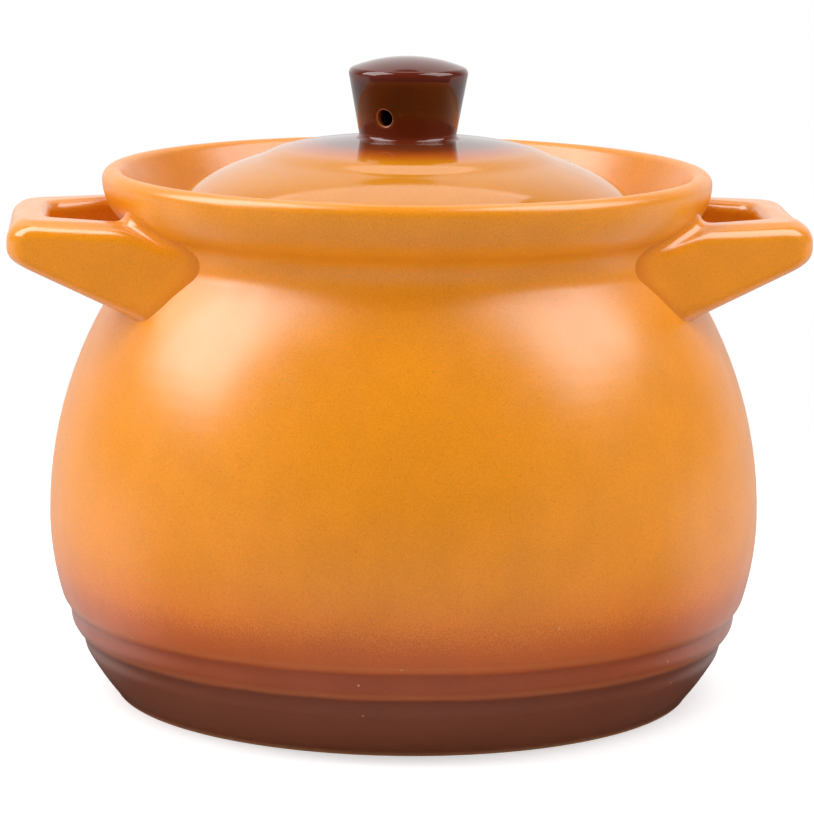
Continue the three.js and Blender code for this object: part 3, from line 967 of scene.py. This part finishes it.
def speckled(nodes, place, colour, specks, where=1.0):
    """A glaze colour with round specks in it."""
    spots = nodes.spots(place, specks.scale, specks.size, specks.share)
    return tinted(nodes, colour, nodes.math("MULTIPLY", spots, where), specks.strength, specks.colour)


def finish_glaze(nodes, shader, place, colour, roughness):
    """Sets the colour and roughness of a glaze that leaves bare clay in places."""
    bare = nodes.attribute("bare")
    clay = nodes.mix(nodes.noise(place, CLAY_SCALE, ROUGH), CLAY, DARK_CLAY)
    nodes.set(shader.inputs["Base Color"], nodes.mix(bare, colour, clay))
    dull = nodes.math("MULTIPLY", bare, CLAY_ROUGHNESS)
    nodes.set(shader.inputs["Roughness"], nodes.math("MAXIMUM", roughness, dull))


def sprayed_height(nodes, place, height):
    """The height on the pot, moved about as the brown spray is scattered."""
    drift = nodes.uneven(place, DRIFT_SCALE, -BROWN_DRIFT, BROWN_DRIFT, ROUGH, DRIFT_CALM)
    droplets = nodes.uneven(place, DROPLET_SCALE, -DROPLET_THROW, DROPLET_THROW, SMOOTH)
    scattered = nodes.math("MULTIPLY", droplets, nodes.stretch(height, *DROPLETS_REACH))
    return nodes.math("ADD", nodes.math("ADD", height, drift), scattered)


def body_roughness(nodes, place, height):
    """Satin, most of all on the neck, with a smoother lip and glossy handles."""
    neck = nodes.stretch(height, *NECK_SATIN, BODY_ROUGHNESS, NECK_ROUGHNESS)
    lip = nodes.stretch(height, *LIP_GLOSS, *LIP_ROUGHNESS)
    handle = nodes.stretch(nodes.attribute("handle"), 0.0, 1.0, 1.0, HANDLE_ROUGHNESS)
    even = nodes.math("MINIMUM", nodes.math("MINIMUM", neck, lip), handle)
    return nodes.math("ADD", even, nodes.uneven(place, WEAR_SCALE, -BODY_WEAR, BODY_WEAR))


def body_glaze():
    """Amber glaze, sprayed brown towards the foot with painted shade deepening the brown's steps at the
    grooves, speckled, with a pale line of thin glaze and painted highlight, a joint darkened by pooled glaze
    and painted shade, and bare clay at the foot and the ledge.
    """
    material, nodes, shader, place = glaze("body_glaze")
    height = nodes.parts(place)["Z"]
    sprayed = sprayed_height(nodes, place, height)
    upwards = nodes.math("DIVIDE", sprayed, BROWN_TOP)
    share = nodes.math("MAXIMUM", upwards, nodes.attribute("within"))
    # the brown ramp carries painted shade in its steps at the grooves
    colour = mottled(nodes, place, graded(nodes, share, BROWN_AND_GROOVE_SHADE_STOPS, BROWN_TOP), MOTTLE)
    colour = speckled(nodes, place, colour, DARK_SPECKS)
    low = nodes.stretch(sprayed, *PALE_SPECKS_REACH)
    colour = speckled(nodes, place, colour, PALE_SPECKS, low)
    # pale line along the grooves and the lip: thin glaze and painted highlight
    colour = tinted(nodes, colour, nodes.attribute("thin"), THIN_AND_HIGHLIGHT_STRENGTH, PALE_GLAZE_AND_HIGHLIGHT)
    # darker joint with the pot: pooled glaze and painted shade in the crease
    colour = tinted(nodes, colour, nodes.attribute("pooled"), POOL_AND_SHADE_STRENGTH, POOLED_GLAZE_AND_SHADE)
    finish_glaze(nodes, shader, place, colour, body_roughness(nodes, place, height))
    return material


def lid_glaze():
    """Amber glaze, smooth and glossy, sprayed brown towards the knob."""
    material, nodes, shader, place = glaze("lid_glaze")
    drift = nodes.uneven(place, DRIFT_SCALE, -SPRAY_DRIFT, SPRAY_DRIFT, ROUGH, DRIFT_CALM)
    outwards = nodes.math("DIVIDE", nodes.math("ADD", nodes.radius(place), drift), SPRAY_REACH)
    share = nodes.math("MAXIMUM", outwards, nodes.attribute("within"))
    colour = mottled(nodes, place, graded(nodes, share, SPRAY_STOPS, SPRAY_REACH), LID_MOTTLE)
    colour = speckled(nodes, place, colour, LID_SPECKS)
    finish_glaze(nodes, shader, place, colour, nodes.uneven(place, WEAR_SCALE, *LID_ROUGHNESS))
    return material


def knob_glaze():
    """Dark brown glaze, glossy, lighter at the knob's foot and crown with painted reflection, and thin round
    its vent.
    """
    material, nodes, shader, place = glaze("knob_glaze", KNOB_IOR)
    patches = nodes.uneven(place, KNOB_PATCH_SCALE, 0.0, 1.0, ROUGH)
    colour = nodes.mix(patches, KNOB_BROWN, KNOB_LIGHT_BROWN)
    height = nodes.parts(place)["Z"]
    # painted reflection: lighter brown at the foot, where the lid is mirrored, and at the crown
    colour = nodes.mix(nodes.stretch(height, *KNOB_FOOT_REFLECTION_REACH), colour, KNOB_FOOT_REFLECTION_BROWN)
    colour = nodes.mix(nodes.stretch(height, *KNOB_CROWN_REFLECTION_REACH), colour, KNOB_CROWN_REFLECTION_BROWN)
    colour = tinted(nodes, colour, nodes.attribute("thin"), KNOB_THIN_STRENGTH, KNOB_THIN_GLAZE)
    nodes.set(shader.inputs["Base Color"], colour)
    nodes.set(shader.inputs["Roughness"], nodes.uneven(place, WEAR_SCALE, *KNOB_ROUGHNESS))
    return material


def add_piece(name, mesh, material, body, node):
    """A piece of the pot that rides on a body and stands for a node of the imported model."""
    piece = bpy.data.objects.new(name, mesh)
    bpy.context.scene.collection.objects.link(piece)
    mesh.materials.append(material)
    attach(piece, body)
    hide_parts(node)


def build_pot():
    body = body_glaze()
    add_piece("pot_shell", pot_mesh(), body, "pot", "pot_body")
    right = ear_mesh()
    left = right.copy()
    left.transform(Matrix.Rotation(math.pi, 4, "Z"))
    add_piece("ear_right", right, body, "pot", "right_handle")
    add_piece("ear_left", left, body, "pot", "left_handle")
    add_piece("lid_shell", lid_mesh(), lid_glaze(), "lid", "lid_dome")
    add_piece("knob_shell", knob_mesh(), knob_glaze(), "lid", "lid_knob")


def gloss_ray(nodes, path):
    """1 for a ray that leaves a glossy or clear surface."""
    return nodes.math("MAXIMUM", path["Is Glossy Ray"], path["Is Transmission Ray"])


FLOOR_SIZE = 30.0
FLOOR_NEAR = 0.16  # the floor shows light and shade this near to the axis
FLOOR_FAR = 0.5  # and is plain white beyond this
FLOOR_TONE = 0.85  # near the pot, as the camera sees it
FLOOR_GLOW = 0.4  # its own light, which softens the shadow
FLOOR_BOUNCE = 0.65  # how pale the floor is to the light that falls on the pot
FLOOR_DIM = 0.06  # and to the glaze, in front
# What the glaze mirrors of the floor behind, beside the foot and far aside, and where that fades in.
BEHIND_GLOW = 0.65
BEHIND_REACH = (-0.01, 0.12)
FOOT_GLOW = 0.7
FOOT_REACH = (0.09, 0.13)
FOOT_DEPTH = (-0.1, -0.01)
SIDE_GLOW = 0.2
SIDE_REACH = (0.4, 1.4)


def mirrored_glow(nodes, place):
    """How white the floor is to the glaze, from 0 to 1."""
    along = nodes.parts(place)
    aside = nodes.math("ABSOLUTE", along["X"])
    behind = nodes.stretch(along["Y"], *BEHIND_REACH, 0.0, BEHIND_GLOW)
    past_foot = nodes.stretch(aside, *FOOT_REACH, 0.0, FOOT_GLOW)
    by_foot = nodes.math("MULTIPLY", past_foot, nodes.stretch(along["Y"], *FOOT_DEPTH))
    beside = nodes.stretch(aside, *SIDE_REACH, 0.0, SIDE_GLOW)
    return nodes.math("MAXIMUM", nodes.math("MAXIMUM", behind, by_foot), beside)


def make_floor():
    """A plain pale floor, white to the camera, that keeps the pot's shadow."""
    bpy.ops.mesh.primitive_plane_add(size=FLOOR_SIZE)
    floor = bpy.context.object
    floor.name = "floor"
    material = bpy.data.materials.new("floor")
    material.use_nodes = True
    material.cycles.emission_sampling = "NONE"
    nodes = Nodes(material.node_tree)

    def plain(level):
        return nodes.add("ShaderNodeBsdfDiffuse", {"Color": grey(level)}).outputs[0]

    place = nodes.add("ShaderNodeTexCoord").outputs["Object"]
    away = nodes.add("ShaderNodeVectorMath", {0: place}, operation="LENGTH").outputs["Value"]
    path = nodes.add("ShaderNodeLightPath").outputs
    white = nodes.add("ShaderNodeEmission", {"Strength": 1.0}).outputs[0]
    glow = nodes.add("ShaderNodeEmission", {"Strength": FLOOR_GLOW}).outputs[0]
    near = nodes.add("ShaderNodeAddShader", {0: plain(FLOOR_TONE), 1: glow}).outputs[0]
    seen = nodes.blend(nodes.stretch(away, FLOOR_NEAR, FLOOR_FAR), near, white)
    mirrored = nodes.blend(mirrored_glow(nodes, place), plain(FLOOR_DIM), white)
    unseen = nodes.blend(gloss_ray(nodes, path), plain(FLOOR_BOUNCE), mirrored)
    surface = nodes.blend(path["Is Camera Ray"], unseen, seen)
    nodes.set(material.node_tree.nodes["Material Output"].inputs["Surface"], surface)
    floor.data.materials.append(material)


# The room, by the direction from the pot: each part of a direction is from -1 to 1.
FILL = 0.1  # even light from all round
ROOM = 0.03  # what the glaze mirrors of the dim room in front
PAPER_TOP = math.sin(math.radians(49))  # how high the white paper behind reaches
PAPER_EDGE = 0.02
PAPER_REACH = (0.25, 0.95)  # towards the back, where the paper fades in
GAP_MIDDLE = Vector((0.03, 0, math.sin(math.radians(46.3))))  # dark gap between the paper and the top lamp
GAP_SIZE = Vector((0.085, 1, 0.034))
GAP_EDGE = (0.8, 1.1)  # squared distance from its middle, in sizes, where the gap fades out
ROOM_SIDES = (0.4, 0.85)  # towards the sides, where the room gets paler
ROOM_LOW = (0.5, 0.2)  # and how low that is


def mirrored_paper(nodes, direction):
    """How white the paper behind the pot is in a direction, from 0 to 1."""
    behind = nodes.stretch(direction["Y"], *PAPER_REACH)
    below_top = nodes.stretch(direction["Z"], PAPER_TOP + PAPER_EDGE, PAPER_TOP - PAPER_EDGE)
    across = nodes.math("DIVIDE", nodes.math("SUBTRACT", direction["X"], GAP_MIDDLE.x), GAP_SIZE.x)
    up = nodes.math("DIVIDE", nodes.math("SUBTRACT", direction["Z"], GAP_MIDDLE.z), GAP_SIZE.z)
    from_gap = nodes.math("ADD", nodes.math("POWER", across, 2.0), nodes.math("POWER", up, 2.0))
    beside_gap = nodes.stretch(from_gap, *GAP_EDGE)
    return nodes.math("MULTIPLY", nodes.math("MULTIPLY", behind, below_top), beside_gap)


def make_world():
    """Even fill light. White to the camera, and to glossy rays where the paper behind the pot is."""
    world = bpy.data.worlds.new("studio")
    bpy.context.scene.world = world
    world.use_nodes = True
    world.cycles.sampling_method = "NONE"
    nodes = Nodes(world.node_tree)

    def light(strength):
        return nodes.add("ShaderNodeBackground", {"Color": grey(1.0), "Strength": strength}).outputs[0]

    direction = nodes.parts(nodes.add("ShaderNodeTexCoord").outputs["Generated"])
    path = nodes.add("ShaderNodeLightPath").outputs
    mirrored = gloss_ray(nodes, path)
    paper = nodes.math("MULTIPLY", mirrored, mirrored_paper(nodes, direction))
    beside = nodes.stretch(nodes.math("ABSOLUTE", direction["X"]), *ROOM_SIDES, ROOM, SIDE_GLOW)
    low = nodes.stretch(direction["Z"], *ROOM_LOW)
    room = nodes.math("MAXIMUM", nodes.math("MULTIPLY", beside, low), ROOM)
    white = nodes.math("MAXIMUM", path["Is Camera Ray"], paper)
    strength = nodes.math("MAXIMUM", white, room)
    share = nodes.math("MAXIMUM", path["Is Camera Ray"], mirrored)
    surface = nodes.blend(share, light(FILL), light(strength))
    nodes.set(world.node_tree.nodes["World Output"].inputs["Surface"], surface)


LAMP_TARGET = Vector((0, 0, 0.1))


def add_softbox(name, turn, rise, distance, size, power, mirrored=True):
    """A soft lamp at a turn from the front towards +X and a rise above level, both in degrees."""
    lamp = bpy.data.lights.new(name, "AREA")
    lamp.shape = "RECTANGLE"
    lamp.size, lamp.size_y = size
    lamp.energy = power
    box = bpy.data.objects.new(name, lamp)
    bpy.context.scene.collection.objects.link(box)
    level = math.cos(math.radians(rise))
    side = math.sin(math.radians(turn)) * level
    front = math.cos(math.radians(turn)) * level
    towards = Vector((side, -front, math.sin(math.radians(rise))))
    box.location = LAMP_TARGET + towards * distance
    box.rotation_euler = towards.to_track_quat("Z", "Y").to_euler()
    box.visible_camera = False
    box.visible_glossy = mirrored
    lamp.cycles.use_multiple_importance_sampling = mirrored


def make_lamps():
    """Three softboxes that the glaze mirrors, and two low fill lamps that it doesn't."""
    add_softbox("left_softbox", turn=-90, rise=45.5, distance=1.2, size=(0.77, 1.12), power=13.8)
    add_softbox("right_softbox", turn=78, rise=51, distance=1.2, size=(0.81, 1.05), power=10.7)
    add_softbox("top_softbox", turn=180, rise=63.25, distance=1.25, size=(1.0, 0.475), power=1.95)
    add_softbox("left_fill", turn=-50, rise=14, distance=1.6, size=(1.6, 1.0), power=10.6, mirrored=False)
    add_softbox("right_fill", turn=50, rise=14, distance=1.6, size=(1.6, 1.0), power=9.6, mirrored=False)


EYE = Vector((-0.08263, -1.19194, 0.29898))
TARGET = Vector((0.00071, -0.00005, 0.08642))
LENS = 175.74
SENSOR = 36.0
CAMERA_ROLL = math.radians(0.6644)  # the camera leans to the left


def make_camera():
    camera = bpy.data.cameras.new("camera")
    camera.sensor_fit = "HORIZONTAL"
    camera.sensor_width = SENSOR
    camera.lens = LENS
    seat = bpy.data.objects.new("camera", camera)
    bpy.context.scene.collection.objects.link(seat)
    facing = (TARGET - EYE).to_track_quat("-Z", "Y").to_matrix().to_4x4()
    seat.matrix_world = Matrix.Translation(EYE) @ facing @ Matrix.Rotation(CAMERA_ROLL, 4, "Z")
    bpy.context.scene.camera = seat


build_pot()
make_floor()
make_world()
make_lamps()
make_camera()
bpy.context.scene.view_settings.view_transform = "Standard"
